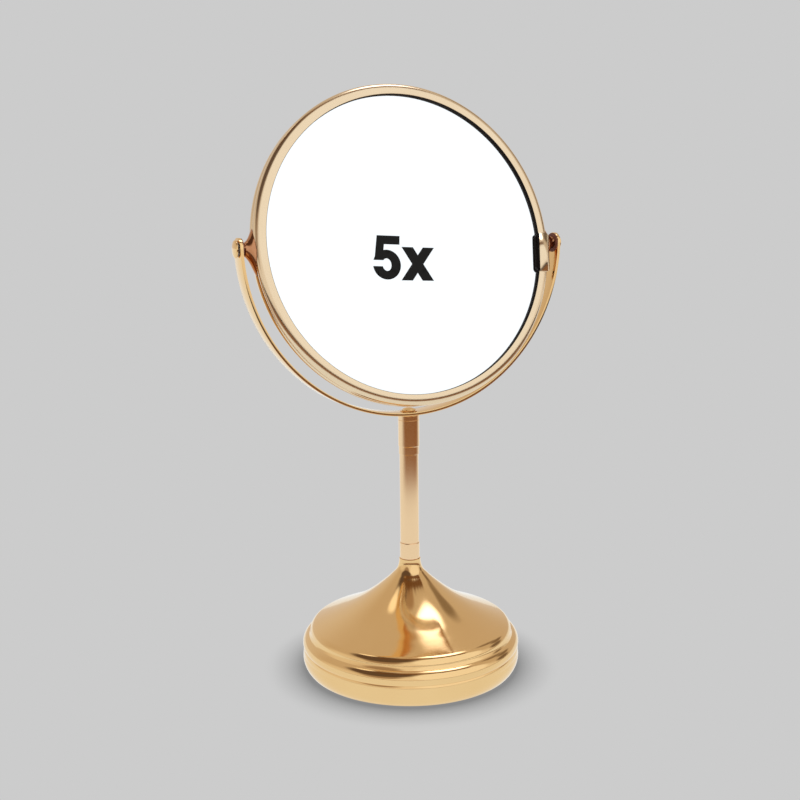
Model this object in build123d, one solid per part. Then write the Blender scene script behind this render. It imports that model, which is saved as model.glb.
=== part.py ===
"""Round tabletop vanity mirror: two glasses back to back in a rim that flips in a U-shaped yoke,
on a slim tube stem and a weighted, spun metal base.

Millimetres, +Z up. The origin is the middle of the base's underside. The pivot axis lies along X,
and the magnifying glass faces -Y, leaning back by HEAD_TILT in the stored pose.
"""
import os
from math import hypot, sqrt

from build123d import *

os.makedirs("parts", exist_ok=True)

# ---- driving dimensions: the head ----
PIVOT_Z = 220.5          # pivot axis above the table
HEAD_TILT = 11.6         # degrees that the magnifying side looks up by
LIP_R = 75.0             # the visible glass is 150 mm across
RIM_R = 80.8             # outside of both bezel beads
HALF_DEPTH = 5.2         # the rim's middle plane to the front of a bezel's lip
BEAD_N = 2.6             # a bead's widest circle above the rim's middle plane
CROWN_R = 76.6           # where a bezel stands proudest
LIP_ROUND = 0.4
BEZEL_WALL = 0.7
SEAM_HALF = 0.35         # half of the groove between the two bezels
SEAM_IN = 0.6            # how far the beads curve in at the groove
GLASS_R = 77.2
GLASS_T = 1.5
BOWL_R = 792.0           # radius of curvature of the magnifying glass
MAGNIFIER_CLAMP = 2.9    # height of the edge that holds the magnifying glass
PLAIN_CLAMP = 4.3        # the same for the plain glass, on its own side
CLAMP_PLAY = 0.05
HOOP_R = 79.4            # outside of the hoop that the bezels are crimped on
HOOP_T = 0.7
HOOP_HALF = 3.0
SPACER_INNER_R = 71.0
CARD_T = 0.3

# ---- driving dimensions: the magnification mark ----
MARK_T = 0.08
MARK_STROKE = 5.1        # thickness of the upright strokes
FLAT_STROKE = 0.85       # the level strokes, as a share of the upright ones
FIVE_BOWL = 0.68         # height of the figure's bowl, as a share of the figure
FIVE_MOUTH = (0.30, 0.44)    # the bowl is open on the left between these shares of the height
FIVE_INDENT = (0.8, 1.9)     # left edge of the figure's stem, at its foot and at its top
CROSS_FOOT = 1.22        # level width of the cross's bars, as a share of the stroke
FIGURE_SIZE = (15.2, 22.0)
CROSS_SIZE = (18.0, 16.8)
FIGURE_AT = (-20.2, -16.3)
CROSS_AT = (-4.6, -17.3)
MARK_SLANT = 0.11
MARK_DROP = 0.05

# ---- driving dimensions: the pivots ----
YOKE_R = 87.4            # middle line of the yoke strip
YOKE_RISE = 2.2          # the yoke's arc is centred this far above the pivot axis
YOKE_T = 1.5
YOKE_W = 10.5
PIN_R = 1.5
PIN_FIT = 0.06           # running clearance of the pin in the yoke arm
SIDE_GAP = 0.1           # play between a turning face and a still one
FRICTION_R = 5.0         # friction washers, a little smaller than the yoke's eyes
WASHER_T = 0.5           # their thickness, and the height of the disc springs
SPRING_T = 0.25
SPRING_R = 3.6
PIN_END_X = 77.6
NUT_X = (77.5, 78.6)
NUT_SIZE = (4.9, 7.0)    # across the hoop and along it
BEZEL_HOLE_R = 2.2
CAP_R = 4.2
CAP_EDGE = 0.4
CAP_H = 1.3
SADDLE_SECTIONS = [          # distance from the middle, then half height and half depth
    (79.0, 12.5, 4.4), (81.3, 8.6, 4.1), (82.4, 6.2, 3.8), (83.6, 4.4, 3.4), (85.0, 3.1, 3.1),
]
SADDLE_DROP = -1.6       # the saddle's foot sits a little below the pivot axis
CLIP_ANGLE = -4.5        # the joint clip's middle, degrees round the rim from the pivot
CLIP_L = 20.5
CLIP_X = (72.8, 81.2)
CLIP_HALF = 5.7
CLIP_ROUND = 1.8
CLIP_END_ROUND = 3.0     # round corners at the clip's two ends

# ---- driving dimensions: the stem ----
TUBE_R = 4.95
TUBE_BORE_R = 4.15
SLEEVE_R = 5.5
SLEEVE_RING_R = 5.25
SLEEVE_BOTTOM_Z = 113.8
SLEEVE_STEP_Z = 118.0
SLEEVE_STEP_H = 0.3
PLUG_FLANGE = 2.7        # the threaded plug's visible flange at the top of the stem
PLUG_SPIGOT = 12.0
PLUG_EDGE = 0.4
COLLAR_R = 5.2
COLLAR_TOP_Z = 66.5
NECK_TOP_Z = 58.0        # where the base's neck ends and the collar begins
NECK_BORE_R = 4.65
SPIGOT_L = 7.0
ROD_R = 2.5
ROD_BOTTOM_Z = 2.0
ROD_THREAD_L = 5.0       # depth of the rod's hole in the plug
SCREW_R = 2.0
SCREW_HEAD = (3.5, 0.7, 1.7)    # radius, straight edge, height
SCREW_L = 7.0
SEAT_CUT = 0.1           # the screw's seat is cut this far into the strip
YOKE_WASHER_R = 4.4
YOKE_WASHER_T = 0.4
FIT = 0.03               # radial play of a fixed fit
THREAD = 0.01            # radial play drawn between screwed parts
HOLE_PLAY = 0.2          # radial play of a plain hole round a screw or a rod

# ---- driving dimensions: the base ----
SHELL_WALL = 0.8
DOME = [                     # radius and height, from the neck out to the rounded edge
    (5.6, NECK_TOP_Z), (7.0, 51.9), (9.6, 49.0), (16.0, 43.2),
    (27.0, 35.1), (34.0, 31.2), (41.0, 27.9), (50.2, 23.6),
]
DOME_ENDS = [(0, -1), (1, -0.52)]    # the dome line's directions at the neck and at the rounded edge
EDGE_MID = (51.9, 22.0)
EDGE_END = (52.4, 20.0)
GROOVE = (53.3, 17.9)
BEAD_MID = (57.1, 14.4)
CREASE = (56.5, 11.3)
SHOULDER = (56.85, 10.3)
BAND_TOP = (56.9, 8.5)
BAND_MID = (56.75, 3.8)
FOOT = (54.9, 0.6)
CURL_R = 50.4            # the shell's bottom edge is curled in this far, under the plate
EDGE_THINNING = 0.3      # the spun wall is this thin across the groove and the foot
PLATE_R = 51.6
PLATE_T = 1.0
PLATE_Z = 1.42
PAD_R = 50.0
PAD_T = 1.38
CUP_R = 9.0
CUP_DRAFT = 2.2
CUP_TOP_Z = 8.4
WEIGHT_R = 48.0
WEIGHT_BORE_R = 11.5
WEIGHT_H = 12.0
WEIGHT_CHAMFER = 1.5
NUT_FLATS = 8.0
NUT_H = 4.0
WASHER_R = 7.0

# ---- derived places ----
ARM_IN = YOKE_R - YOKE_T / 2
ARM_OUT = YOKE_R + YOKE_T / 2
BOSS_TIP_X = ARM_IN - WASHER_T - SIDE_GAP
CAP_X = ARM_OUT + WASHER_T + SIDE_GAP
YOKE_CENTRE_Z = PIVOT_Z + YOKE_RISE
STEM_TOP_Z = YOKE_CENTRE_Z - ARM_OUT
PLUG_Z = STEM_TOP_Z - PLUG_FLANGE
PLUG_BOTTOM_Z = PLUG_Z - PLUG_SPIGOT
SEAT_Z = YOKE_CENTRE_Z - ARM_IN + SEAT_CUT              # flat on the yoke strip's curved bottom
BOSS_R = SADDLE_SECTIONS[-1][1]
BOWL_EDGE_N = MAGNIFIER_CLAMP - CLAMP_PLAY              # the magnifying glass where its bezel holds it
BOWL_N = BOWL_EDGE_N - (LIP_R + BEZEL_WALL) ** 2 / (2 * BOWL_R)    # the bowl's lowest point
PLAIN_N = CLAMP_PLAY - PLAIN_CLAMP                      # outer face of the plain glass
INNER_FACE_N = PLAIN_N + GLASS_T + CLAMP_PLAY           # just inside the plain glass
HEAD = Location((0, 0, PIVOT_Z), (90 - HEAD_TILT, 0, 0))    # mirror frame: +Z out of the magnifying side
SIDES = {"left": -1, "right": 1}


def spun(edges):
    """A solid of revolution about Z from a closed outline of (radius, height) edges."""
    return revolve(make_face([Plane.XZ * edge for edge in edges]), Axis.Z)


def ring(r_in, r_out, low, high):
    """A tube, disc or washer about Z."""
    body = Pos(0, 0, low) * extrude(Circle(r_out), high - low)
    if r_in > 0:
        body -= Pos(0, 0, low - 1) * extrude(Circle(r_in), high - low + 2)
    return body


def outwards(shape, x, side, inward=False):
    """Lay a shape that stands on Z = 0 along X, from x outwards on one side, or from x inwards."""
    turn = -90 if inward else 90
    return Pos(side * x, 0, 0) * Rot(0, side * turn, 0) * shape


def domed_head(radius, edge, height):
    """A round screw head: a short straight edge under a part of a ball."""
    rise = height - edge
    ball_r = (radius ** 2 + rise ** 2) / (2 * rise)
    ball = Pos(0, 0, height - ball_r) * Sphere(ball_r)
    return ball & extrude(Circle(radius), height)


def pivot_bore(radius):
    """A cutter along the whole pivot axis, in the mirror frame."""
    return Rot(0, 90, 0) * extrude(Circle(radius), 2 * CAP_X, both=True)


def inset(points, wall):
    """The same open outline moved sideways by one wall thickness."""
    moved = []
    for i, (x, y) in enumerate(points):
        x0, y0 = points[max(i - 1, 0)]
        x1, y1 = points[min(i + 1, len(points) - 1)]
        length = hypot(x1 - x0, y1 - y0)
        moved.append((x + wall * (y1 - y0) / length, y - wall * (x1 - x0) / length))
    return moved


# ---- the rim and its glasses, in the mirror frame ----
def bead_edges(inward, lip_z):
    """A bezel's section from its inner wall, over the lip and round the bead's widest circle."""
    r0 = LIP_R + inward
    r1 = RIM_R - inward
    top = HALF_DEPTH - inward
    return [
        EllipticalCenterArc((CROWN_R, lip_z), CROWN_R - r0, top - lip_z, 90, arc_size=90),
        EllipticalCenterArc((CROWN_R, BEAD_N), r1 - CROWN_R, top - BEAD_N, 0, arc_size=90),
    ]


def seam_edge(inward):
    """The bead's curl into the seam."""
    r1 = RIM_R - inward
    return TangentArc((r1, BEAD_N), (r1 - SEAM_IN, SEAM_HALF), tangent=(0, -1))


def bezel(clamp):
    """One spun and crimped bezel, with its lip towards +Z. Its inner wall ends on the glass."""
    edges = bead_edges(0, HALF_DEPTH - LIP_ROUND) + [seam_edge(0)]
    edges += bead_edges(BEZEL_WALL, clamp) + [seam_edge(BEZEL_WALL)]
    edges.append(Polyline((LIP_R, HALF_DEPTH - LIP_ROUND), (LIP_R, clamp), (LIP_R + BEZEL_WALL, clamp)))
    seam_r = RIM_R - SEAM_IN
    edges.append(Line((seam_r, SEAM_HALF), (seam_r - BEZEL_WALL, SEAM_HALF)))
    return spun(edges) - pivot_bore(BEZEL_HOLE_R)


def rim_mass():
    """The whole rim as one thick ring, to cut what is fitted round it."""
    r0 = LIP_R - FIT
    r1 = RIM_R + FIT
    lip_z = HALF_DEPTH - LIP_ROUND
    sides = Polyline((r0, lip_z), (r0, 0), (r1, 0), (r1, BEAD_N))
    half = spun(bead_edges(-FIT, lip_z) + [sides])
    return half + mirror(half, Plane.XY)


def bowl_layer(radius, low, high):
    """A layer that follows the magnifying glass, between two heights above its front face."""
    def height(r):
        return BOWL_N + BOWL_R - sqrt(BOWL_R ** 2 - r ** 2)
    bounds = []
    for lift in (low, high):
        middle = (radius / 2, height(radius / 2) + lift)
        bounds.append(ThreePointArc((0, BOWL_N + lift), middle, (radius, height(radius) + lift)))
    axis_side = Line((0, BOWL_N + low), (0, BOWL_N + high))
    edge_side = Line((radius, height(radius) + low), (radius, height(radius) + high))
    return spun(bounds + [axis_side, edge_side])


def mark_point(origin, x, y):
    """A point of the slightly slanted print, from its upright drawing."""
    return (origin[0] + x + MARK_SLANT * y, origin[1] + y - MARK_DROP * x)


def stroke(origin, corners):
    return make_face(Polyline(*[mark_point(origin, x, y) for x, y in corners], close=True))


def figure_five():
    """A plain bold figure: a bar, a stem, and a bowl that is open to the left."""
    width, height = FIGURE_SIZE
    level = FLAT_STROKE * MARK_STROKE
    bowl_h = FIVE_BOWL * height
    mouth_low, mouth_high = [share * height for share in FIVE_MOUTH]
    foot, top = FIVE_INDENT
    right = width - foot
    centre = mark_point(FIGURE_AT, width / 2, bowl_h / 2)
    bowl = Ellipse(width / 2, bowl_h / 2) - Ellipse(width / 2 - MARK_STROKE, bowl_h / 2 - level)
    mouth = [(-top, mouth_low), (width / 2, mouth_low), (width / 2, mouth_high), (-top, mouth_high)]
    bar = [(top, height - level), (right, height - level), (right, height), (top, height)]
    stem = [(foot, mouth_high), (foot + level, mouth_high), (top + level, height), (top, height)]
    rounded = Pos(*centre) * bowl - stroke(FIGURE_AT, mouth)
    return rounded + stroke(FIGURE_AT, bar) + stroke(FIGURE_AT, stem)


def cross():
    """The times sign: two crossed bars."""
    width, height = CROSS_SIZE
    foot = CROSS_FOOT * MARK_STROKE
    rising = stroke(CROSS_AT, [(0, 0), (foot, 0), (width, height), (width - foot, height)])
    falling = stroke(CROSS_AT, [(0, height), (foot, height), (width, 0), (width - foot, 0)])
    return rising + falling


def magnification_mark():
    """Printed film on the magnifying glass."""
    reach = hypot(FIGURE_AT[0], FIGURE_AT[1]) + 4
    film = bowl_layer(reach, FIT, FIT + MARK_T)
    return film & (Pos(0, 0, BOWL_N - 1) * extrude(figure_five() + cross(), 4))


def glass_spacer():
    """Moulded ring that keeps the two glasses apart at their edges."""
    back = BOWL_N - GLASS_T + SPACER_INNER_R ** 2 / (2 * BOWL_R)
    return ring(SPACER_INNER_R, GLASS_R - HOLE_PLAY, INNER_FACE_N, back - CLAMP_PLAY)


# ---- the pivots, in the mirror frame ----
def clip_block(spread=0.0):
    """The outside of the joint clip: a straight bar along the rim, with round edges."""
    x0, x1 = CLIP_X
    middle = Pos((x0 + x1 + spread) / 2, 0, 0)
    outline = middle * Rectangle(x1 - x0 + spread, CLIP_L + spread)
    outline = fillet(outline.vertices(), CLIP_END_ROUND)
    bar = middle * Box(x1 - x0 + spread, CLIP_L + spread, 2 * CLIP_HALF)
    bar = fillet(bar.edges().filter_by(Axis.Y), CLIP_ROUND)
    return Rot(0, 0, CLIP_ANGLE) * (bar & extrude(outline, CLIP_HALF, both=True))


def ring_clip():
    """Sleeve over the ends of the rim at the right-hand pivot, open towards the glasses."""
    middle = (MAGNIFIER_CLAMP - PLAIN_CLAMP) / 2
    window = Box(6 * CLIP_ROUND, 2 * CLIP_L, MAGNIFIER_CLAMP + PLAIN_CLAMP + 2 * HOLE_PLAY)
    return clip_block() - rim_mass() - Pos(LIP_R, 0, middle) * window - pivot_bore(PIN_R + HOLE_PLAY)


def saddle(side):
    """Cast boss that carries the pin, flared out to a foot on the rim."""
    sections = []
    for x, tall, deep in SADDLE_SECTIONS:
        lean = (BOSS_TIP_X - x) / (BOSS_TIP_X - SADDLE_SECTIONS[0][0])
        plane = Plane(origin=(side * x, SADDLE_DROP * lean, 0), x_dir=(0, 1, 0), z_dir=(side, 0, 0))
        sections.append(plane * Ellipse(tall, deep) if tall > deep else plane * Circle(tall))
    neck_x = SADDLE_SECTIONS[-1][0]
    body = loft(sections)
    body += outwards(extrude(Circle(BOSS_R), BOSS_TIP_X - neck_x), neck_x, side)
    body -= rim_mass()
    if side > 0:
        body -= clip_block(FIT)
    body -= pivot_bore(PIN_R + THREAD)
    return body.solids().sort_by(SortBy.VOLUME)[-1]


def pivot_pin(side):
    """Screw with a plain domed cap outside the yoke arm."""
    shank = extrude(Circle(PIN_R), CAP_X - PIN_END_X)
    return outwards(domed_head(CAP_R, CAP_EDGE, CAP_H), CAP_X, side) + outwards(shank, PIN_END_X, side)


def nut_plate(side):
    """Small square nut inside the hoop, which the pivot screw pulls against."""
    plate = extrude(Rectangle(*NUT_SIZE) - Circle(PIN_R + THREAD), NUT_X[1] - NUT_X[0])
    return outwards(plate, NUT_X[0], side)


def friction_washer(side):
    return outwards(ring(PIN_R + HOLE_PLAY, FRICTION_R, 0, WASHER_T), ARM_IN, side, inward=True)


def disc_spring(side):
    """Coned spring washer between the arm and the screw's cap."""
    bore = PIN_R + HOLE_PLAY
    lift = WASHER_T - SPRING_T
    section = Polyline((bore, lift), (bore, WASHER_T), (SPRING_R, SPRING_T), (SPRING_R, 0), close=True)
    return outwards(spun([section]), ARM_OUT, side)


# ---- the stand ----
def yoke():
    """Flat strip bent into a U. Each end is a round eye, pressed flat on the inside."""
    strip = Circle(ARM_OUT) - Circle(ARM_IN)
    strip -= Pos(0, ARM_OUT) * Rectangle(3 * ARM_OUT, 2 * ARM_OUT)
    tip = YOKE_W / 2 - YOKE_RISE
    for side in SIDES.values():
        strip += Pos(side * YOKE_R, tip / 2) * Rectangle(YOKE_T, tip)
    body = extrude(Plane.XZ * strip, YOKE_W / 2, both=True)
    body = Pos(0, 0, YOKE_CENTRE_Z) * body
    eye = Pos(0, 0, PIVOT_Z) * Rot(0, 90, 0)
    corners = Pos(0, 0, PIVOT_Z + YOKE_W) * Box(3 * ARM_OUT, 2 * YOKE_W, 2 * YOKE_W)
    body -= corners - eye * extrude(Circle(YOKE_W / 2), 2 * ARM_OUT, both=True)
    body -= eye * extrude(Circle(YOKE_W / 2), ARM_IN, both=True)
    body -= Pos(0, 0, PIVOT_Z) * pivot_bore(PIN_R + PIN_FIT)
    return body - ring(0, SCREW_R + HOLE_PLAY, STEM_TOP_Z - 1, SEAT_Z)


def yoke_washer():
    return ring(SCREW_R + HOLE_PLAY, YOKE_WASHER_R, SEAT_Z, SEAT_Z + YOKE_WASHER_T)


def yoke_screw():
    """Low pan-head screw, so that the rim can swing over it."""
    head_z = SEAT_Z + YOKE_WASHER_T
    return Pos(0, 0, head_z) * domed_head(*SCREW_HEAD) + ring(0, SCREW_R, STEM_TOP_Z - SCREW_L, head_z)


def stem_plug():
    """Threaded plug in the top of the stem: the yoke screw enters above, the tie rod below."""
    outline = Polyline(
        (0, STEM_TOP_Z), (SLEEVE_R - PLUG_EDGE, STEM_TOP_Z), (SLEEVE_R, STEM_TOP_Z - PLUG_EDGE),
        (SLEEVE_R, PLUG_Z), (TUBE_BORE_R - FIT, PLUG_Z), (TUBE_BORE_R - FIT, PLUG_BOTTOM_Z),
        (0, PLUG_BOTTOM_Z), close=True
    )
    body = spun([outline])
    body -= ring(0, SCREW_R + THREAD, STEM_TOP_Z - SCREW_L - 1, STEM_TOP_Z + 1)
    return body - ring(0, ROD_R + THREAD, PLUG_BOTTOM_Z - 1, PLUG_BOTTOM_Z + ROD_THREAD_L)


def stem_sleeve():
    """Outer sleeve round the upper part of the stem, stepped down to a short ring at its lower end."""
    bore = TUBE_R + FIT
    return spun([Polyline(
        (bore, SLEEVE_BOTTOM_Z), (SLEEVE_RING_R, SLEEVE_BOTTOM_Z), (SLEEVE_RING_R, SLEEVE_STEP_Z),
        (SLEEVE_R, SLEEVE_STEP_Z + SLEEVE_STEP_H), (SLEEVE_R, PLUG_Z), (bore, PLUG_Z), close=True
    )])


def stem_collar():
    """Ferrule between the stem tube and the base's neck, with a spigot into each."""
    body = ring(0, COLLAR_R, NECK_TOP_Z, COLLAR_TOP_Z)
    body += ring(0, TUBE_BORE_R - FIT, COLLAR_TOP_Z, COLLAR_TOP_Z + SPIGOT_L)
    body += ring(0, NECK_BORE_R - FIT, NECK_TOP_Z - SPIGOT_L, NECK_TOP_Z)
    return body - ring(0, ROD_R + HOLE_PLAY, NECK_TOP_Z - SPIGOT_L - 1, COLLAR_TOP_Z + SPIGOT_L + 1)


def base_shell():
    """Spun shell: trumpet neck, dome, groove, bead and a rolled band, curled in at the bottom."""
    inner_dome = inset(DOME, SHELL_WALL)
    inner_dome[0] = (NECK_BORE_R, NECK_TOP_Z)
    wall = SHELL_WALL
    inner_groove = (GROOVE[0] - wall, GROOVE[1] - EDGE_THINNING)
    inner_crease = (CREASE[0] - wall, CREASE[1])
    inner_band = (BAND_TOP[0] - wall, BAND_TOP[1])
    inner_foot = (FOOT[0] - EDGE_THINNING, FOOT[1] + wall)
    return spun([
        Line(inner_dome[0], DOME[0]),
        Spline(*DOME, tangents=DOME_ENDS),
        ThreePointArc(DOME[-1], EDGE_MID, EDGE_END),
        Line(EDGE_END, GROOVE),
        ThreePointArc(GROOVE, BEAD_MID, CREASE),
        ThreePointArc(CREASE, SHOULDER, BAND_TOP),
        ThreePointArc(BAND_TOP, BAND_MID, FOOT),
        Line(FOOT, (CURL_R, FOOT[1])),
        Line((CURL_R, FOOT[1]), (CURL_R, inner_foot[1])),
        Line((CURL_R, inner_foot[1]), inner_foot),
        ThreePointArc(inner_foot, (BAND_MID[0] - wall, BAND_MID[1]), inner_band),
        ThreePointArc(inner_band, (SHOULDER[0] - wall, SHOULDER[1] - wall / 2), inner_crease),
        ThreePointArc(inner_crease, (BEAD_MID[0] - wall, BEAD_MID[1]), inner_groove),
        Line(inner_groove, inner_dome[-1]),
        Spline(*inner_dome, tangents=DOME_ENDS),
    ])


def base_plate():
    """Steel plate with a raised cup in the middle, so that the rod's nut clears the table."""
    top = PLATE_Z + PLATE_T
    bore = ROD_R + HOLE_PLAY
    return spun([Polyline(
        (bore, CUP_TOP_Z), (CUP_R, CUP_TOP_Z), (CUP_R + CUP_DRAFT, top), (PLATE_R, top),
        (PLATE_R, PLATE_Z), (CUP_R + CUP_DRAFT - PLATE_T, PLATE_Z),
        (CUP_R - PLATE_T, CUP_TOP_Z - PLATE_T), (bore, CUP_TOP_Z - PLATE_T), close=True
    )])


def base_weight():
    """Cast iron ring on the plate, with a chamfered top edge."""
    low = PLATE_Z + PLATE_T
    body = ring(WEIGHT_BORE_R, WEIGHT_R, low, low + WEIGHT_H)
    return chamfer(body.edges().filter_by(GeomType.CIRCLE).sort_by(Axis.Z)[-2:], WEIGHT_CHAMFER)


def rod_nut():
    high = CUP_TOP_Z - PLATE_T - PLATE_T
    hexagon = RegularPolygon(NUT_FLATS / 2, 6, major_radius=False)
    return Pos(0, 0, high - NUT_H) * extrude(hexagon - Circle(ROD_R + THREAD), NUT_H)


def rod_washer():
    high = CUP_TOP_Z - PLATE_T
    return ring(ROD_R + HOLE_PLAY, WASHER_R, high - PLATE_T, high)


stand = {
    "base_shell": base_shell(),
    "base_weight": base_weight(),
    "base_plate": base_plate(),
    "base_pad": ring(0, PAD_R, 0, PAD_T),
    "tie_rod": ring(0, ROD_R, ROD_BOTTOM_Z, PLUG_BOTTOM_Z + ROD_THREAD_L - 1),
    "tie_rod_washer": rod_washer(),
    "tie_rod_nut": rod_nut(),
    "stem_collar": stem_collar(),
    "stem_tube": ring(TUBE_BORE_R, TUBE_R, COLLAR_TOP_Z, PLUG_Z),
    "stem_sleeve": stem_sleeve(),
    "stem_plug": stem_plug(),
    "yoke": yoke(),
    "yoke_washer": yoke_washer(),
    "yoke_screw": yoke_screw(),
}

head = {
    "front_bezel": bezel(MAGNIFIER_CLAMP),
    "rear_bezel": Rot(180, 0, 0) * bezel(PLAIN_CLAMP),
    "rim_hoop": ring(HOOP_R - HOOP_T, HOOP_R, -HOOP_HALF, HOOP_HALF) - pivot_bore(PIN_R + HOLE_PLAY),
    "ring_clip": ring_clip(),
    "magnifying_glass": bowl_layer(GLASS_R, -GLASS_T, 0),
    "plain_glass": ring(0, GLASS_R, PLAIN_N, PLAIN_N + GLASS_T),
    "glass_spacer": glass_spacer(),
    "backing_card": ring(0, SPACER_INNER_R - HOLE_PLAY, INNER_FACE_N, INNER_FACE_N + CARD_T),
    "magnification_mark": magnification_mark(),
}

for name, side in SIDES.items():
    head["pivot_saddle_" + name] = saddle(side)
    head["pivot_screw_" + name] = pivot_pin(side)
    head["nut_plate_" + name] = nut_plate(side)
    stand["friction_washer_" + name] = Pos(0, 0, PIVOT_Z) * friction_washer(side)
    stand["disc_spring_" + name] = Pos(0, 0, PIVOT_Z) * disc_spring(side)

for name, shape in stand.items():
    export_step(shape, f"parts/{name}.step")
for name, shape in head.items():
    export_step(HEAD * shape, f"parts/{name}.step")
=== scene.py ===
"""Tabletop vanity mirror: rose-gold plated steel, two silvered glasses and a weighted round base.

Laid out as an add-on: sizes and colours are properties, and each group of pieces is an operator.
"""

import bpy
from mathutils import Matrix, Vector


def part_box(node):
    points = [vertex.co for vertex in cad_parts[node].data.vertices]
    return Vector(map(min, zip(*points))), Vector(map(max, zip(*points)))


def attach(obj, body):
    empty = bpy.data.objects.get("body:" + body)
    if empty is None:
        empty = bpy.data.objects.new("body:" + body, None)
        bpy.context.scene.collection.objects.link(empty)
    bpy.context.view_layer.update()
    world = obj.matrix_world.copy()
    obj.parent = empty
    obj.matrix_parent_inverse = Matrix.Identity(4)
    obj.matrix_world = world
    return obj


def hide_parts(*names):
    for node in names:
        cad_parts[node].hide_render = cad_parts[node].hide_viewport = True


bl_info = {
    "name": "Tabletop Vanity Mirror",
    "version": (1, 0, 0),
    "blender": (4, 5, 0),
    "location": "3D View > Sidebar > Vanity Mirror",
    "description": "Builds a double-sided vanity mirror on a round weighted base, with its studio",
    "category": "Add Mesh",
}

from math import atan2, cos, hypot, pi, radians, sin, sqrt

import bpy
from bpy.props import FloatProperty, FloatVectorProperty, PointerProperty, StringProperty
from mathutils import Matrix, Vector

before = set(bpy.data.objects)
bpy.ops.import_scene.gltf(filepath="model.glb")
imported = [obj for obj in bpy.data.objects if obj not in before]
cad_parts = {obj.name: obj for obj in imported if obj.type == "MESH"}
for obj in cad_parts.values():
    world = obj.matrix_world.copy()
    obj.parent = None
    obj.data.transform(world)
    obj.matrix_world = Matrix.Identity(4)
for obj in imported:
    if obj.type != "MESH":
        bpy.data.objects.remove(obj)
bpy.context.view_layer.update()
MM = 0.001
PIVOT = Vector((0, 0, 220.5)) * MM
SPIN_STEPS = 160
WELD = 1e-6        # points closer than this, in metres, are made one

# faces that meet at less than this many degrees are shaded as one surface
CRISP = 12         # tubes, whose chamfers stay apart from the long walls beside them
GROUND = 20        # glass with a ground edge
BENT = 30          # spun and bent sheet, and the print
ROUND = 40         # the bezels' beads, and small turned, cast and pressed pieces


def linear(hex_colour):
    """An sRGB hex colour as linear RGBA."""
    parts = [int(hex_colour[i:i + 2], 16) / 255 for i in (1, 3, 5)]
    return tuple(c / 12.92 if c <= 0.04045 else ((c + 0.055) / 1.055) ** 2.4 for c in parts) + (1.0,)


# ---------------------------------------------------------------- sizes and colours

class VanityMirrorSizes(bpy.types.PropertyGroup):
    tilt: FloatProperty(name="Lean", description="How far the magnifying side looks up",
                        default=radians(11.6), subtype="ANGLE")
    glass_radius: FloatProperty(name="Visible glass", description="Radius of the glass inside the lip",
                                default=0.075, unit="LENGTH")
    rim_radius: FloatProperty(name="Rim", description="Outside radius of both bezel beads",
                              default=0.0808, unit="LENGTH")
    bowl_radius: FloatProperty(name="Bowl", description="Radius of curvature of the magnifying glass",
                               default=0.792, unit="LENGTH")
    yoke_radius: FloatProperty(name="Yoke", description="Radius of the yoke strip's middle line",
                               default=0.0874, unit="LENGTH")
    yoke_width: FloatProperty(name="Yoke width", description="Width of the yoke strip",
                              default=0.0105, unit="LENGTH")
    stem_radius: FloatProperty(name="Stem", description="Radius of the lower stem tube",
                               default=0.00495, unit="LENGTH")
    sleeve_radius: FloatProperty(name="Sleeve", description="Radius of the upper stem sleeve",
                                 default=0.0055, unit="LENGTH")


class VanityMirrorColours(bpy.types.PropertyGroup):
    plating: StringProperty(name="Plating", description="Rose-gold plating of base and yoke, sRGB hex",
                            default="#EDC78E")
    # the rim's plating below is painted paler: a painted sheen for the rim's washed-out highlights
    pale_sheen_plating: StringProperty(name="Pale plating", description="Paler plating of the rim, sRGB hex",
                                 default="#E7D0AF")
    stem_plating: StringProperty(name="Stem plating", description="Plating of the stem, sRGB hex",
                                 default="#F0CEA4")
    # the saddles' plating below is painted darker and redder: painted shade on the saddles
    shaded_bracket_plating: StringProperty(name="Bracket plating", description="Plating of the saddles, sRGB hex",
                                    default="#BD8660")
    silvering: StringProperty(name="Silvering", description="Colour of the silvered glass, sRGB hex",
                              default="#FAFBFB")
    ink: StringProperty(name="Ink", description="Colour of the printed mark, sRGB hex",
                        default="#0F0E0D")
    backdrop: FloatVectorProperty(name="Backdrop", description="What the camera sees round the mirror",
                                  subtype="COLOR", size=3, default=linear("#CCCCCC")[:3])


# ---------------------------------------------------------------- materials

def add_node(tree, kind, settings=None, **inputs):
    """One shader node with its settings. An input goes by its name, or by i and its number; it is given
    as a value or as another node's output socket."""
    node = tree.nodes.new(kind)
    for key, value in (settings or {}).items():
        setattr(node, key, value)
    for key, value in inputs.items():
        numbered = key[0] == "i" and key[1:].isdigit()
        socket = node.inputs[int(key[1:]) if numbered else key.replace("_", " ")]
        if isinstance(value, bpy.types.NodeSocket):
            tree.links.new(value, socket)
        else:
            socket.default_value = value
    return node


def blend(tree, factor, first, second):
    """The colour between two others, at a node's factor."""
    mix = add_node(tree, "ShaderNodeMix", {"data_type": "RGBA"}, Factor=factor, i6=first, i7=second)
    return mix.outputs[2]


def new_material(name):
    """An empty node material with its output and Principled shader, and Object coordinates."""
    made = bpy.data.materials.new(name)
    made.use_nodes = True
    tree = made.node_tree
    tree.nodes.clear()
    output = tree.nodes.new("ShaderNodeOutputMaterial")
    shader = tree.nodes.new("ShaderNodeBsdfPrincipled")
    tree.links.new(shader.outputs["BSDF"], output.inputs["Surface"])
    coordinates = tree.nodes.new("ShaderNodeTexCoord").outputs["Object"]
    return made, tree, shader, coordinates


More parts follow.
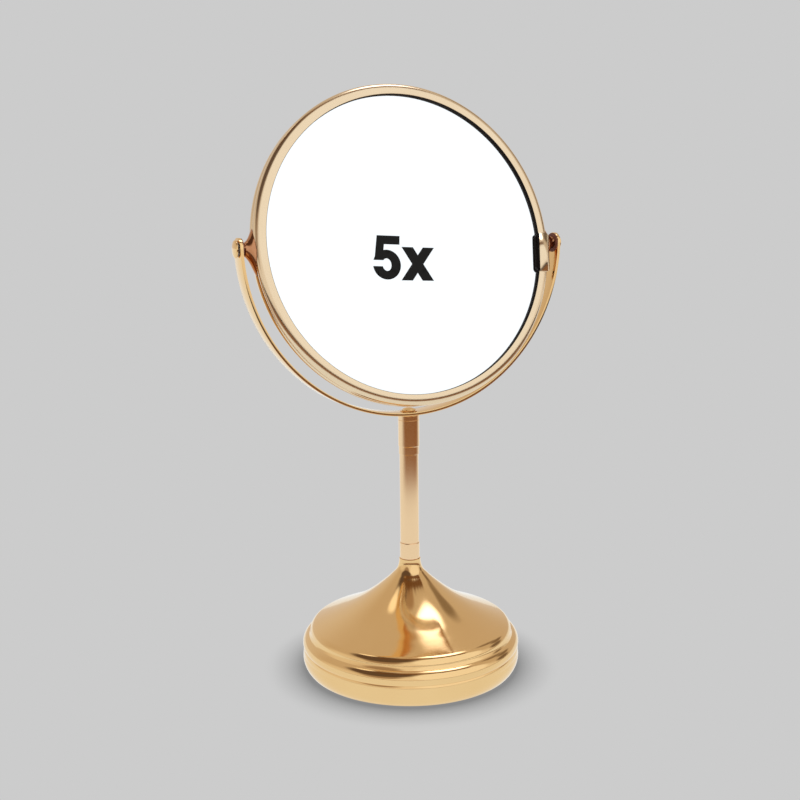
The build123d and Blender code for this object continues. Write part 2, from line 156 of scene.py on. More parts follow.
def plated_steel(name, colour, roughness):
    """Polished steel with a rose-gold plating. The plating's tone drifts a little over some centimetres,
    and buffing leaves a fine haze of about 0.3 mm grain that softens reflections without hiding them."""
    made, tree, shader, coordinates = new_material(name)
    tone = linear(colour)
    drift = add_node(tree, "ShaderNodeTexNoise", Vector=coordinates, Scale=35.0, Detail=2.0)
    deeper = tuple(c * k for c, k in zip(tone, (0.95, 0.91, 0.86))) + (1.0,)
    tree.links.new(blend(tree, drift.outputs["Fac"], tone, deeper), shader.inputs["Base Color"])
    haze = add_node(tree, "ShaderNodeTexNoise", Vector=coordinates, Scale=3000.0, Detail=3.0)
    spread = add_node(tree, "ShaderNodeMapRange", Value=haze.outputs["Fac"],
                      i3=roughness * 0.75, i4=roughness * 1.3)
    tree.links.new(spread.outputs["Result"], shader.inputs["Roughness"])
    bump = add_node(tree, "ShaderNodeBump", Strength=0.03, Distance=0.00002, Height=haze.outputs["Fac"])
    tree.links.new(bump.outputs["Normal"], shader.inputs["Normal"])
    shader.inputs["Metallic"].default_value = 1.0
    return made


def silvered_glass(name, colour):
    """Float glass silvered at its back: an almost perfect mirror, with the faintest unevenness."""
    made, tree, shader, coordinates = new_material(name)
    wave = add_node(tree, "ShaderNodeTexNoise", Vector=coordinates, Scale=20.0, Detail=1.0)
    tint = blend(tree, wave.outputs["Fac"], linear(colour), linear("#F4F8F7"))
    tree.links.new(tint, shader.inputs["Base Color"])
    shader.inputs["Metallic"].default_value = 1.0
    shader.inputs["Roughness"].default_value = 0.0
    return made


def dense_black(name, dark, light):
    """A deep black film, such as printed ink or the black round the glass's edge, with a fine stipple and
    hardly any sheen.
    """
    made, tree, shader, coordinates = new_material(name)
    stipple = add_node(tree, "ShaderNodeTexNoise", Vector=coordinates, Scale=2500.0, Detail=2.0)
    mixed = blend(tree, stipple.outputs["Fac"], linear(dark), linear(light))
    tree.links.new(mixed, shader.inputs["Base Color"])
    shader.inputs["Roughness"].default_value = 0.55
    shader.inputs["Specular IOR Level"].default_value = 0.15
    return made


def speckled(name, dark, light, grain_mm, metallic, roughness, bump_mm=0.0):
    """A plain finish that varies between two tones at a given grain: zinc, iron, fibre, foam or card."""
    made, tree, shader, coordinates = new_material(name)
    grain = add_node(tree, "ShaderNodeTexNoise", Vector=coordinates, Scale=1000.0 / grain_mm, Detail=4.0)
    mixed = blend(tree, grain.outputs["Fac"], linear(dark), linear(light))
    tree.links.new(mixed, shader.inputs["Base Color"])
    if bump_mm:
        bump = add_node(tree, "ShaderNodeBump", Strength=0.6, Distance=bump_mm * MM,
                        Height=grain.outputs["Fac"])
        tree.links.new(bump.outputs["Normal"], shader.inputs["Normal"])
    shader.inputs["Metallic"].default_value = metallic
    shader.inputs["Roughness"].default_value = roughness
    return made


def finish(name):
    """A finish by name, made the first time that it is asked for."""
    if name in bpy.data.materials:
        return bpy.data.materials[name]
    colours = bpy.context.scene.vanity_mirror_colours
    if name == "rose_gold_plated_steel":  # the base and the yoke, in a deeper gold
        return plated_steel(name, colours.plating, 0.09)
    if name == "pale_sheen_gold_plated_steel":  # the rim, a little softer, and painted paler as painted sheen
        return plated_steel(name, colours.pale_sheen_plating, 0.15)
    if name == "drawn_and_plated_tube":   # the stem, in a warm tone between the two, softened by drawing
        return plated_steel(name, colours.stem_plating, 0.13)
    if name == "shade_darkened_zinc_plating":      # die-cast brackets, painted darker and redder as painted shade on the saddles
        return plated_steel(name, colours.shaded_bracket_plating, 0.14)
    if name == "warm_black_glass_edge":      # a warm black round the glass's edge
        return dense_black(name, "#0C0503", "#180D08")
    if name == "silvered_glass":
        return silvered_glass(name, colours.silvering)
    if name == "screen_printed_ink":      # dense black, with the printing mesh's fine stipple
        return dense_black(name, colours.ink, "#1E1D1B")
    if name == "bright_zinc_steel":       # spangled crystals of about 2 mm, bluish grey
        return speckled(name, "#9FA3A6", "#C9CCCE", 2.0, 1.0, 0.28)
    if name == "grey_cast_iron":          # sand-cast skin under a thin black primer
        return speckled(name, "#1E1E20", "#343436", 0.8, 0.0, 0.6, 0.15)
    if name == "vulcanised_fibre":        # stamped from dark red-brown sheet, fine fibres, dull sheen
        return speckled(name, "#2E0D04", "#4A1A0A", 0.3, 0.0, 0.5, 0.01)
    if name == "closed_cell_foam":        # fine cells of about 0.4 mm
        return speckled(name, "#101011", "#1E1E20", 0.4, 0.0, 0.85, 0.08)
    if name == "black_polypropylene":     # moulded spacer, satin
        return speckled(name, "#0C0C0D", "#151516", 0.6, 0.0, 0.45, 0.01)
    if name == "grey_board":              # recycled fibres of a few tenths of a millimetre
        return speckled(name, "#837B6E", "#9B9386", 0.5, 0.0, 0.9, 0.03)
    raise ValueError(name)


# ---------------------------------------------------------------- modelling by hand

def start():
    """Object mode with nothing selected."""
    if bpy.context.object and bpy.context.object.mode != "OBJECT":
        bpy.ops.object.mode_set(mode="OBJECT")
    bpy.ops.object.select_all(action="DESELECT")


def pick(obj):
    """Selects one object and makes it active."""
    start()
    obj.select_set(True)
    bpy.context.view_layer.objects.active = obj


def spun_outline(name, outline, closed=True):
    """One vertex is extruded along an outline of (radius, height) in millimetres, then spun about Z."""
    line = outline + outline[:1] if closed else outline
    start()
    bpy.ops.mesh.primitive_plane_add(size=MM, location=Vector((line[0][0], 0, line[0][1])) * MM)
    obj = bpy.context.object
    obj.name = name
    bpy.ops.object.transform_apply()
    bpy.ops.object.mode_set(mode="EDIT")
    bpy.ops.mesh.select_mode(type="VERT")
    bpy.ops.mesh.select_all(action="SELECT")
    bpy.ops.mesh.merge(type="CENTER")
    for (x0, z0), (x1, z1) in zip(line, line[1:]):
        step = Vector((x1 - x0, 0, z1 - z0)) * MM
        bpy.ops.mesh.extrude_region_move(TRANSFORM_OT_translate={"value": step})
    bpy.ops.mesh.select_all(action="SELECT")
    bpy.ops.mesh.remove_doubles(threshold=WELD)
    bpy.ops.mesh.spin(steps=SPIN_STEPS, angle=2 * pi, center=(0, 0, 0), axis=(0, 0, 1))
    bpy.ops.mesh.select_all(action="SELECT")
    bpy.ops.mesh.remove_doubles(threshold=WELD)
    bpy.ops.mesh.normals_make_consistent(inside=False)
    bpy.ops.object.mode_set(mode="OBJECT")
    return obj


def put_in_place(obj, matrix):
    """Moves a piece and keeps the move in its mesh."""
    pick(obj)
    obj.matrix_world = matrix @ obj.matrix_world
    bpy.ops.object.transform_apply(location=True, rotation=True, scale=True)


def head_frame():
    """The mirror frame: +Z out of the magnifying side, +Y up along the glass."""
    tilt = bpy.context.scene.vanity_mirror_sizes.tilt
    return Matrix.Translation(PIVOT) @ Matrix.Rotation(pi / 2 - tilt, 4, "X")


def soften(obj, width_mm, segments, angle):
    """Breaks edges that are sharper than this angle, as polishing does."""
    pick(obj)
    bpy.ops.object.modifier_add(type="BEVEL")
    bevel = obj.modifiers[-1]
    bevel.width = width_mm * MM
    bevel.segments = segments
    bevel.limit_method = "ANGLE"
    bevel.angle_limit = radians(angle)
    bpy.ops.object.modifier_apply(modifier=bevel.name)


def settle(obj, body, nodes, material, smooth):
    """Shades and paints a finished piece and fixes it to its body, in place of its CAD nodes."""
    pick(obj)
    bpy.ops.object.shade_smooth_by_angle(angle=radians(smooth))
    obj.data.materials.clear()
    obj.data.materials.append(finish(material))
    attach(obj, body)
    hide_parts(*nodes)


def coat(obj, material, wanted):
    """Gives a second finish to the faces whose middle, in the mirror frame, is wanted."""
    obj.data.materials.append(finish(material))
    upright = head_frame().inverted()
    for face in obj.data.polygons:
        if wanted(upright @ face.center):
            face.material_index = 1


def smoothed_copy(node, name):
    """A copy of a CAD node with its loose triangles merged."""
    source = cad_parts[node]
    start()
    obj = source.copy()
    obj.data = source.data.copy()
    obj.name = name
    obj.parent = None
    obj.matrix_world = Matrix.Identity(4)
    bpy.context.scene.collection.objects.link(obj)
    pick(obj)
    bpy.ops.object.mode_set(mode="EDIT")
    bpy.ops.mesh.select_all(action="SELECT")
    bpy.ops.mesh.remove_doubles(threshold=WELD)
    bpy.ops.object.mode_set(mode="OBJECT")
    return obj


def arc(start_at, through, end_at, steps):
    """Points of the circle arc through three (radius, height) points, without the first one."""
    (x1, y1), (x2, y2), (x3, y3) = start_at, through, end_at
    s1, s2, s3 = x1**2 + y1**2, x2**2 + y2**2, x3**2 + y3**2
    d = 2 * (x1 * (y2 - y3) + x2 * (y3 - y1) + x3 * (y1 - y2))
    ux = (s1 * (y2 - y3) + s2 * (y3 - y1) + s3 * (y1 - y2)) / d
    uy = (s1 * (x3 - x2) + s2 * (x1 - x3) + s3 * (x2 - x1)) / d
    a1, a2, a3 = (atan2(y - uy, x - ux) for x, y in (start_at, through, end_at))
    sweep = (a3 - a1) % (2 * pi)
    if (a2 - a1) % (2 * pi) > sweep:
        sweep -= 2 * pi
    r = hypot(x1 - ux, y1 - uy)
    angles = [a1 + sweep * i / steps for i in range(1, steps + 1)]
    return [(ux + r * cos(a), uy + r * sin(a)) for a in angles]


def oval(centre, rx, ry, from_deg, to_deg, steps):
    """Points of an ellipse arc, both ends included."""
    angles = [radians(from_deg + (to_deg - from_deg) * i / steps) for i in range(steps + 1)]
    return [(centre[0] + rx * cos(a), centre[1] + ry * sin(a)) for a in angles]


def flowing(points, steps, first_slope, last_slope):
    """A smooth line through points, given its direction at both ends."""
    slopes = [Vector(first_slope)]
    for last, here, next_one in zip(points, points[1:], points[2:]):
        before, after = Vector(here) - Vector(last), Vector(next_one) - Vector(here)
        slopes.append(after.normalized() * before.length + before.normalized() * after.length)
    slopes.append(Vector(last_slope))
    line = [points[0]]
    for i in range(len(points) - 1):
        p, q = Vector(points[i]), Vector(points[i + 1])
        reach = (q - p).length
        m0, m1 = slopes[i].normalized() * reach, slopes[i + 1].normalized() * reach
        for k in range(1, steps + 1):
            t = k / steps
            h = (2 * t**3 - 3 * t**2 + 1) * p + (t**3 - 2 * t**2 + t) * m0
            h += (3 * t**2 - 2 * t**3) * q + (t**3 - t**2) * m1
            line.append((h.x, h.y))
    return line


# ---------------------------------------------------------------- the pieces

class VANITY_OT_base(bpy.types.Operator):
    """Spun dome with trumpet neck and rounded edge, groove, bead and rolled band"""
    bl_idname = "vanity.base"
    bl_label = "Base shell"

    def execute(self, context):
        dome = [(5.6, 57.85), (7.0, 51.9), (9.6, 49.0), (16.0, 43.2), (27.0, 35.1), (34.0, 31.2),
                (41.0, 27.9), (50.8, 23.6)]
        groove, crease, band_top = (53.9, 18.15), (56.5, 11.3), (56.9, 8.5)
        outline = [(4.65, 57.85), (4.8, 58.0), (5.45, 58.0)]
        outline += flowing(dome, 14, (0, -1), (1, -0.44))
        outline += arc(dome[-1], (52.4, 22.1), (53.2, 19.8), 16)        # rounded edge
        outline += [(53.65, 18.7), groove]
        outline += arc(groove, (57.1, 14.3), crease, 18)                # bead
        outline += arc(crease, (56.85, 10.3), band_top, 8)
        outline += arc(band_top, (56.75, 3.8), (54.9, 0.6), 18)         # band and foot
        outline += [(50.4, 0.6), (50.4, 1.4), (54.6, 1.4), (55.95, 3.9), (56.1, 8.5), (55.7, 11.3),
                    (56.3, 14.4), (52.5, 17.6), (49.8, 22.8), (40.6, 27.1), (33.6, 30.4), (26.5, 34.4),
                    (15.4, 42.5), (8.9, 48.2), (6.2, 51.6), (4.65, 57.0)]
        shell = spun_outline("base_shell_spun", outline)
        settle(shell, "stand", ["base_shell"], "rose_gold_plated_steel", BENT)
        return {"FINISHED"}


class VANITY_OT_stem(bpy.types.Operator):
    """Ferrule, tube, stepped sleeve and the plug's lip"""
    bl_idname = "vanity.stem"
    bl_label = "Stem"

    def execute(self, context):
        sizes = context.scene.vanity_mirror_sizes
        tube = sizes.stem_radius / MM
        sleeve = sizes.sleeve_radius / MM
        seam, top = 131.85, 134.55      # where tube and sleeve meet the plug, and the plug's top
        pieces = {
            "stem_collar": [(2.7, 51.0), (4.6, 51.0), (4.62, 58.0), (5.05, 58.0), (5.2, 58.15),
                            (5.2, 66.3), (5.1, 66.5), (4.12, 66.5), (4.12, 73.5), (2.7, 73.5)],
            "stem_tube": [(4.15, 66.5), (tube - 0.12, 66.5), (tube, 66.65), (tube, seam), (4.15, seam)],
            "stem_sleeve": [(tube + 0.03, 113.8), (5.1, 113.8), (5.25, 114.0), (5.25, 117.95),
                            (5.3, 118.0), (sleeve - 0.08, 118.15), (sleeve, 118.3),
                            (sleeve, seam - 0.1), (sleeve - 0.1, seam), (tube + 0.03, seam)],
            "stem_plug": [(2.02, top - 8), (4.1, top - 14), (4.12, seam), (sleeve - 0.1, seam),
                          (sleeve, seam + 0.1), (sleeve, top - 0.4), (sleeve - 0.15, top - 0.12),
                          (sleeve - 0.4, top), (2.02, top)],
        }
        for node, outline in pieces.items():
            settle(spun_outline(node + "_turned", outline), "stand", [node],
                   "drawn_and_plated_tube", CRISP)
        return {"FINISHED"}


class VANITY_OT_yoke(bpy.types.Operator):
    """Flat strip bent into a U, with round eyes and polished edges"""
    bl_idname = "vanity.yoke"
    bl_label = "Yoke"

    def execute(self, context):
        sizes = context.scene.vanity_mirror_sizes
        thickness = 1.5 * MM
        half = sizes.yoke_width / 2
        rise = 2.2 * MM                 # from the pivot axis up to the middle of the bend
        centre = PIVOT + Vector((0, 0, rise))
        start()
        bpy.ops.mesh.primitive_plane_add(size=1, location=centre + Vector((-sizes.yoke_radius, 0, 0)))
        strip = context.object
        strip.name = "yoke_strip"
        strip.scale = (thickness, sizes.yoke_width, 1)
        bpy.ops.object.transform_apply()
        bpy.ops.object.mode_set(mode="EDIT")
        bpy.ops.mesh.select_all(action="SELECT")
        bpy.ops.mesh.spin(steps=120, angle=pi, center=centre, axis=(0, 1, 0))
        bpy.ops.object.mode_set(mode="OBJECT")
        # each end is drawn up to a round eye: its width follows a circle about the pivot axis
        sines = [sin(radians(turn)) for turn in range(25, 90, 5)] + [0.9995]
        for side in (-1, 1):
            at, width = 0.0, 1.0
            self.pick_end(strip, side, centre.z)
            for sine in sines:
                height = half * sine - rise
                share = sqrt(max(1 - sine ** 2, 0.001))     # the very tip stays blunt
                bpy.ops.mesh.extrude_region_move(TRANSFORM_OT_translate={"value": (0, 0, height - at)})
                middle = (side * sizes.yoke_radius, 0, centre.z + height)
                bpy.ops.transform.resize(value=(1, share / width, 1), center_override=middle)
                at, width = height, share
            bpy.ops.object.mode_set(mode="OBJECT")
        pick(strip)
        bpy.ops.object.mode_set(mode="EDIT")
        bpy.ops.mesh.select_all(action="SELECT")
        bpy.ops.mesh.remove_doubles(threshold=WELD)
        bpy.ops.mesh.normals_make_consistent(inside=False)
        bpy.ops.object.mode_set(mode="OBJECT")
        soften(strip, width_mm=0.25, segments=3, angle=50)
        settle(strip, "stand", ["yoke"], "rose_gold_plated_steel", BENT)
        return {"FINISHED"}

    @staticmethod
    def pick_end(strip, side, level):
        """Selects the end face of one arm, at this height."""
        pick(strip)
        bpy.ops.object.mode_set(mode="EDIT")
        bpy.ops.mesh.select_mode(type="FACE")
        bpy.ops.mesh.select_all(action="DESELECT")
        bpy.ops.object.mode_set(mode="OBJECT")
        for face in strip.data.polygons:
            flat = all(abs(strip.data.vertices[v].co.z - level) < WELD for v in face.vertices)
            face.select = flat and face.center.x * side > 0
        bpy.ops.object.mode_set(mode="EDIT")


class VANITY_OT_rim(bpy.types.Operator):
    """Two spun bezels that meet at a seam"""
    bl_idname = "vanity.rim"
    bl_label = "Rim"

    def execute(self, context):
        sizes = context.scene.vanity_mirror_sizes
        lip = sizes.glass_radius / MM
        rim = sizes.rim_radius / MM
        crest = 76.6                    # radius of the bead's highest line
        widest, foot = 2.6, 0.35        # heights of its widest line and of its foot at the seam
        # each lip stands just clear of its glass: the bowl's brim in front, the flat glass behind
        for node, clamp, flip in (("front_bezel", 2.9, 0), ("rear_bezel", 4.3, pi)):
            outline = [(lip, clamp)]
            outline += oval((crest, 4.8), crest - lip, 0.4, 180, 90, 10)
            outline += oval((crest, widest), rim - crest, 2.6, 90, 0, 20)[1:]
            outline += arc((rim, widest), (rim - 0.15, 1.3), (rim - 0.6, foot), 8)
            outline += [(rim - 1.3, foot), (rim - 0.75, widest), (rim - 2.0, 4.0), (crest, 4.5),
                        (lip + 0.7, clamp)]
            bezel = spun_outline(node + "_spun", outline)
            put_in_place(bezel, head_frame() @ Matrix.Rotation(flip, 4, "X"))
            # the bezels take the plating painted paler: painted sheen
            settle(bezel, "head", [node], "pale_sheen_gold_plated_steel", ROUND)
            # the lip's inner edge is coloured warm black
            coat(bezel, "warm_black_glass_edge", lambda at: hypot(at.x, at.y) < (lip + 0.12) * MM)
        return {"FINISHED"}


class VANITY_OT_glasses(bpy.types.Operator):
    """Concave magnifying glass and flat glass, each with a ground edge"""
    bl_idname = "vanity.glasses"
    bl_label = "Glasses"

    def execute(self, context):
        sizes = context.scene.vanity_mirror_sizes
        curve = sizes.bowl_radius / MM
        edge, thick, ground = 77.2, 1.5, 0.2
        brim, brim_height = 75.7, 2.85          # a point of the bowl's face, under the lip
        deep = brim_height - brim ** 2 / (2 * curve)
        radii = [edge * i / 24 for i in range(25)]
        front = [(r, deep + curve - sqrt(curve ** 2 - r ** 2)) for r in radii]
        front = front[:-1] + [(edge - ground, front[-1][1] - 0.02), (edge, front[-1][1] - ground)]
        back = [(r, z - thick) for r, z in reversed(front[:-1])]
        bowl = spun_outline("magnifying_glass_ground", front + back)
        put_in_place(bowl, head_frame())
        settle(bowl, "head", ["magnifying_glass"], "silvered_glass", GROUND)
        inside = -2.75                          # the flat glass's inner face
        outside = inside - thick
        flat = spun_outline("plain_glass_ground", [
            (0, inside), (edge - ground, inside), (edge, inside - ground), (edge, outside + ground),
            (edge - ground, outside), (0, outside)])
        put_in_place(flat, head_frame())
        settle(flat, "head", ["plain_glass"], "silvered_glass", GROUND)
        return {"FINISHED"}


class VANITY_OT_mark(bpy.types.Operator):
    """Printed magnification figure on the glass"""
    bl_idname = "vanity.mark"
    bl_label = "Magnification mark"

    def execute(self, context):
        mark = smoothed_copy("magnification_mark", "magnification_mark_print")
        settle(mark, "head", ["magnification_mark"], "screen_printed_ink", BENT)
        return {"FINISHED"}


class VANITY_OT_saddles(bpy.types.Operator):
    """Flared bosses that carry the pins, on both sides of the rim"""
    bl_idname = "vanity.saddles"
    bl_label = "Pivot saddles"

    def execute(self, context):
        for node in ("pivot_saddle_left", "pivot_saddle_right"):
            saddle = smoothed_copy(node, node + "_cast")
            # the saddles take the plating painted darker and redder: painted shade
            settle(saddle, "head", [node], "shade_darkened_zinc_plating", ROUND)
        return {"FINISHED"}


class VANITY_OT_clip(bpy.types.Operator):
    """Straight clip over the ends of the rim at the right-hand pivot"""
    bl_idname = "vanity.clip"
    bl_label = "Rim clip"

    def execute(self, context):
        clip = smoothed_copy("ring_clip", "ring_clip_pressed")
        # the clip takes the same plating painted paler: painted sheen
        settle(clip, "head", ["ring_clip"], "pale_sheen_gold_plated_steel", ROUND)
        square = Matrix.Rotation(radians(4.5), 4, "Z")      # the clip sits 4.5 degrees off the pin
        inner = 74.6 * MM                                   # its part inside this line is coloured warm black
        coat(clip, "warm_black_glass_edge", lambda at: (square @ at).x < inner)
        return {"FINISHED"}


class VANITY_OT_pivot_screws(bpy.types.Operator):
    """Pins with plain domed caps"""
    bl_idname = "vanity.pivot_screws"
    bl_label = "Pivot screws"

    def execute(self, context):
        inner_end, cap_foot = 77.6, 88.75       # distances from the middle of the head, in millimetres
        pin, cap_radius, skirt = 1.5, 4.2, 0.4
        for node, side in (("pivot_screw_left", -1), ("pivot_screw_right", 1)):
            low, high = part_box(node)
            length = (high[0] - low[0]) / MM
            base = cap_foot - inner_end
            dome = length - base - skirt
            outline = [(0, 0), (pin - 0.2, 0), (pin, 0.2), (pin, base), (cap_radius - 0.15, base),
                       (cap_radius, base + 0.15), (cap_radius, base + skirt)]
            for turn in range(8, 90, 8):
                a = radians(turn)
                outline.append((cap_radius * cos(a), base + skirt + dome * sin(a)))
            outline.append((0, length))
            screw = spun_outline(node + "_turned", outline, closed=False)
            outward = Matrix.Rotation(side * pi / 2, 4, "Y") @ Matrix.Translation((0, 0, inner_end * MM))
            put_in_place(screw, Matrix.Translation(PIVOT) @ outward)
            settle(screw, "head", [node], "rose_gold_plated_steel", ROUND)
        return {"FINISHED"}


class VANITY_OT_fasteners(bpy.types.Operator):
    """Yoke screw and washer, fibre washers and disc springs"""
    bl_idname = "vanity.fasteners"
    bl_label = "Small fasteners"

    def execute(self, context):
        for node, slot, material in (
            ("yoke_screw", "gold_plated_steel", "rose_gold_plated_steel"),
            ("yoke_washer", "gold_plated_steel", "rose_gold_plated_steel"),
            ("friction_washer_left", "vulcanised_fibre", "vulcanised_fibre"),
            ("friction_washer_right", "vulcanised_fibre", "vulcanised_fibre"),
            ("disc_spring_left", "zinc_plated_steel", "bright_zinc_steel"),
            ("disc_spring_right", "zinc_plated_steel", "bright_zinc_steel"),
        ):
            settle(smoothed_copy(node, node + "_turned"), "stand", [node], material, ROUND)
        return {"FINISHED"}


class VANITY_OT_inner_parts(bpy.types.Operator):
    """Finishes of the parts inside the base, the stem and the rim"""
    bl_idname = "vanity.inner_parts"
    bl_label = "Inner parts"

    def execute(self, context):
        finishes = {
            "grey_cast_iron": ["base_weight"],
            "bright_zinc_steel": ["base_plate", "tie_rod", "tie_rod_washer", "tie_rod_nut", "rim_hoop",
                                  "nut_plate_left", "nut_plate_right"],
            "closed_cell_foam": ["base_pad"],
            "black_polypropylene": ["glass_spacer"],
            "grey_board": ["backing_card"],
        }
        for material, nodes in finishes.items():
            for node in nodes:
                for place_of_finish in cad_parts[node].material_slots:
                    place_of_finish.material = finish(material)
        return {"FINISHED"}


# ---------------------------------------------------------------- the studio

CEILING = (0.67, 0.60, 0.52)         # warm white ceiling and far walls
TABLE_GLOW = (0.94, 1.00, 1.04)      # the white table as the metal shows it
FLOOR_SIZE = 40                      # in metres
SHADOW_REACH = 0.022                 # the contact shadow fades out over this distance, in metres
SHADOW_DEPTH = 0.42                  # and keeps this share of the light at the base's foot
SHADOW_OPENNESS = (0.5, 0.97)        # how open the table is to the room at its darkest, and where it ends
# in front of the mirror, the table gives way to a wooden floor, that to a dark carpet, and that to a wall:
# the distances in metres between which each one comes in, then its colour
BEYOND_TABLE = (
    (0.33, 0.46, (0.29, 0.14, 0.06)),
    (0.75, 1.10, (0.09, 0.08, 0.075)),
    (1.6, 2.4, (0.95, 0.94, 0.92)),
)
FRONT_SIDE = 0.3                     # they come in from this far behind the mirror to this far in front
# bright walls and dark things round the table: direction from the front towards the right, elevation,
# half-angles of the full and of the fading part, all in degrees, then the light that comes from there
STUDIO = (
    (-30, -12, 30, 60, (0.95, 0.94, 0.92)),      # bright front of the table
    (30, -12, 30, 60, (0.95, 0.94, 0.92)),
    (-100, -12, 20, 45, (0.88, 0.85, 0.80)),
    (180, -8, 25, 60, (0.76, 0.72, 0.68)),       # backdrop
    (20, 28, 34, 42, (1.08, 1.12, 1.16)),        # large softbox in front, which fills the glass
    (-58, 28, 13, 25, (0.42, 0.33, 0.26)),       # dark room beside the camera
    (-70, 55, 22, 33, (0.14, 0.10, 0.08)),
    (-30, 82, 4, 9, (0.42, 0.30, 0.21)),         # shade overhead
    (84, 12, 6, 13, (0.22, 0.17, 0.13)),         # dark stand on the right
    (97, 27, 5, 11, (0.26, 0.20, 0.15)),
    (103, 42, 5, 11, (0.30, 0.24, 0.18)),
)
# a dark beam over the table: points along it, by direction and elevation, then its half-angles and colour
BEAM = ((-80, 66), (-65, 71), (-39, 74), (-10, 73), (17, 71), (36, 66), (50, 61), (60, 56))
BEAM_LOOK = (3.5, 6.5, (0.18, 0.09, 0.04))
# lamps high on the left and on the right, told as the walls are
LAMPS = (
    (-126, 65, 3, 8, (1.35, 1.30, 1.20)),
    (102, 70, 7, 14, (3.40, 3.50, 4.00)),
)
CAMERA_PLACE = (-0.2347, -0.4829, 0.2336)
CAMERA_AHEAD = (0.42370, 0.89004, -0.16822)
CAMERA_ROLL = -0.0103                # in radians


def toward(turn, lift):
    """The direction at this turn from the front towards the right, and at this elevation."""
    turn, lift = radians(turn), radians(lift)
    return (sin(turn) * cos(lift), -cos(turn) * cos(lift), sin(lift))


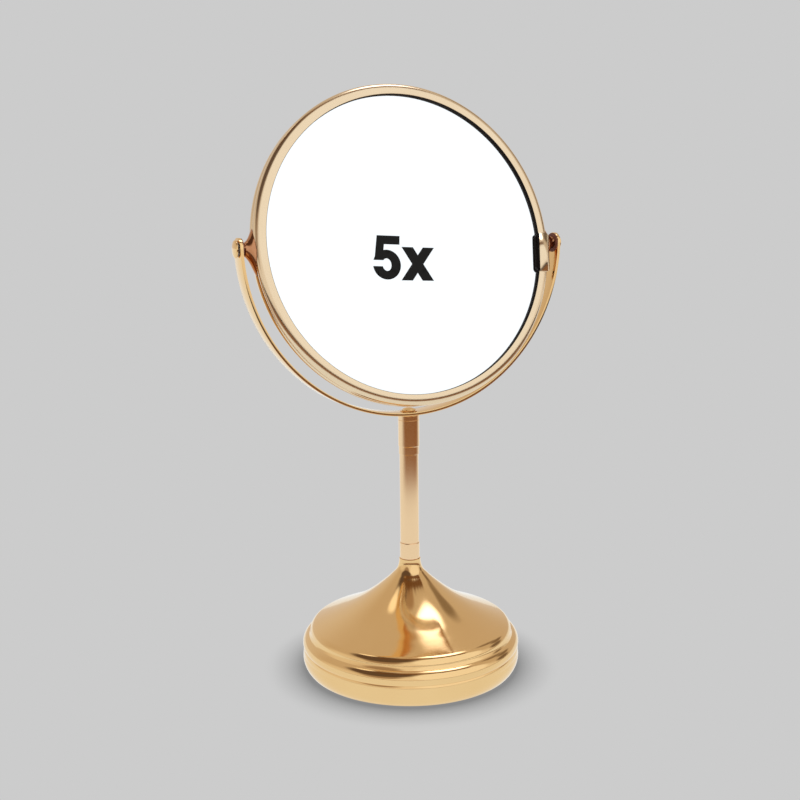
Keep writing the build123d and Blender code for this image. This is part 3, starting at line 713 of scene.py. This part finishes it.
class VANITY_OT_stage(bpy.types.Operator):
    """White table, studio surroundings, lamps and the camera"""
    bl_idname = "vanity.stage"
    bl_label = "Stage"

    def execute(self, context):
        self.floor(context)
        self.surroundings(context)
        self.camera(context)
        context.scene.view_settings.view_transform = "Standard"
        return {"FINISHED"}

    @staticmethod
    def floor(context):
        """A white table, which the camera sees in the backdrop's grey, with a close soft shadow."""
        start()
        bpy.ops.mesh.primitive_plane_add(size=FLOOR_SIZE)
        floor = context.object
        floor.name = "floor"
        made = bpy.data.materials.new("table_top")
        made.use_nodes = True
        tree = made.node_tree
        tree.nodes.clear()
        output = tree.nodes.new("ShaderNodeOutputMaterial")
        path = tree.nodes.new("ShaderNodeLightPath")
        backdrop = context.scene.vanity_mirror_colours.backdrop
        corner = add_node(tree, "ShaderNodeAmbientOcclusion", {"samples": 16}, Distance=SHADOW_REACH)
        darkest, open_air = SHADOW_OPENNESS
        dusk = add_node(tree, "ShaderNodeMapRange", Value=corner.outputs["AO"],
                        i1=darkest, i2=open_air, i3=SHADOW_DEPTH, i4=1.0)
        shaded = add_node(tree, "ShaderNodeVectorMath", {"operation": "SCALE"}, i0=tuple(backdrop),
                          Scale=dusk.outputs["Result"])
        seen = add_node(tree, "ShaderNodeEmission", Color=shaded.outputs["Vector"], Strength=1.0)
        here = tree.nodes.new("ShaderNodeTexCoord").outputs["Object"]
        reach = add_node(tree, "ShaderNodeVectorMath", {"operation": "LENGTH"}, i0=here)
        depth = add_node(tree, "ShaderNodeSeparateXYZ", Vector=here)
        front = add_node(tree, "ShaderNodeMapRange", {"interpolation_type": "SMOOTHSTEP"},
                         Value=depth.outputs["Y"], i1=FRONT_SIDE, i2=-FRONT_SIDE)
        shown = TABLE_GLOW + (1.0,)
        for near, far, colour in BEYOND_TABLE:
            gone = add_node(tree, "ShaderNodeMapRange", {"interpolation_type": "SMOOTHSTEP"},
                            Value=reach.outputs["Value"], i1=near, i2=far)
            share = add_node(tree, "ShaderNodeMath", {"operation": "MULTIPLY"}, i0=gone.outputs["Result"],
                             i1=front.outputs["Result"])
            shown = blend(tree, share.outputs["Value"], shown, colour + (1.0,))
        glow = add_node(tree, "ShaderNodeEmission", Color=shown, Strength=1.0)
        both = add_node(tree, "ShaderNodeMixShader", i0=path.outputs["Is Camera Ray"],
                        i1=glow.outputs["Emission"], i2=seen.outputs["Emission"])
        tree.links.new(both.outputs["Shader"], output.inputs["Surface"])
        floor.data.materials.append(made)

    @staticmethod
    def surroundings(context):
        """The studio round the object, as its metal shows it. The camera sees only the backdrop's grey."""
        world = bpy.data.worlds.new("studio")
        context.scene.world = world
        world.use_nodes = True
        tree = world.node_tree
        tree.nodes.clear()
        output = tree.nodes.new("ShaderNodeOutputWorld")
        way = tree.nodes.new("ShaderNodeTexCoord").outputs["Generated"]
        tone = CEILING + (1.0,)
        beam = tuple(point + BEAM_LOOK for point in BEAM)
        for turn, lift, inner, outer, colour in STUDIO + beam + LAMPS:
            facing = add_node(tree, "ShaderNodeVectorMath", {"operation": "DOT_PRODUCT"}, i0=way,
                              i1=toward(turn, lift))
            share = add_node(tree, "ShaderNodeMapRange", {"interpolation_type": "SMOOTHSTEP"},
                             Value=facing.outputs["Value"], i1=cos(radians(outer)), i2=cos(radians(inner)))
            tone = blend(tree, share.outputs["Result"], tone, colour + (1.0,))
        room = add_node(tree, "ShaderNodeBackground", Color=tone, Strength=1.0)
        backdrop = tuple(context.scene.vanity_mirror_colours.backdrop) + (1.0,)
        seen = add_node(tree, "ShaderNodeBackground", Color=backdrop, Strength=1.0)
        path = tree.nodes.new("ShaderNodeLightPath")
        both = add_node(tree, "ShaderNodeMixShader", i0=path.outputs["Is Camera Ray"],
                        i1=room.outputs["Background"], i2=seen.outputs["Background"])
        tree.links.new(both.outputs["Shader"], output.inputs["Surface"])

    @staticmethod
    def camera(context):
        """The photograph's viewpoint: a lens of 47.7 mm on a 36 mm sensor."""
        start()
        bpy.ops.object.camera_add(location=CAMERA_PLACE)
        camera = context.object
        ahead = Vector(CAMERA_AHEAD).normalized()
        turn = ahead.to_track_quat("-Z", "Y").to_matrix().to_4x4()
        roll = Matrix.Rotation(CAMERA_ROLL, 4, "Z")
        camera.matrix_world = Matrix.Translation(camera.location) @ turn @ roll
        camera.data.sensor_width = 36.0
        camera.data.lens = 47.7
        camera.data.clip_start = 0.01
        context.scene.camera = camera


# ---------------------------------------------------------------- panel and running

class VANITY_PT_panel(bpy.types.Panel):
    """Lists the sizes, the colours and the pieces"""
    bl_label = "Vanity Mirror"
    bl_idname = "VANITY_PT_panel"
    bl_space_type = "VIEW_3D"
    bl_region_type = "UI"
    bl_category = "Vanity Mirror"

    def draw(self, context):
        for group in (context.scene.vanity_mirror_sizes, context.scene.vanity_mirror_colours):
            for key in group.__annotations__:
                self.layout.prop(group, key)
        for step in STEPS:
            self.layout.operator(step.bl_idname)


STEPS = (VANITY_OT_stage, VANITY_OT_base, VANITY_OT_stem, VANITY_OT_yoke, VANITY_OT_rim, VANITY_OT_glasses,
         VANITY_OT_mark, VANITY_OT_saddles, VANITY_OT_clip, VANITY_OT_pivot_screws, VANITY_OT_fasteners,
         VANITY_OT_inner_parts)
CLASSES = (VanityMirrorSizes, VanityMirrorColours) + STEPS + (VANITY_PT_panel,)


def register():
    for made in CLASSES:
        bpy.utils.register_class(made)
    bpy.types.Scene.vanity_mirror_sizes = PointerProperty(type=VanityMirrorSizes)
    bpy.types.Scene.vanity_mirror_colours = PointerProperty(type=VanityMirrorColours)


def unregister():
    del bpy.types.Scene.vanity_mirror_colours
    del bpy.types.Scene.vanity_mirror_sizes
    for made in reversed(CLASSES):
        bpy.utils.unregister_class(made)


def main():
    """Builds the mirror and its stage."""
    register()
    for step in STEPS:
        group, name = step.bl_idname.split(".")
        getattr(getattr(bpy.ops, group), name)()
    start()


if __name__ == "__main__":
    main()
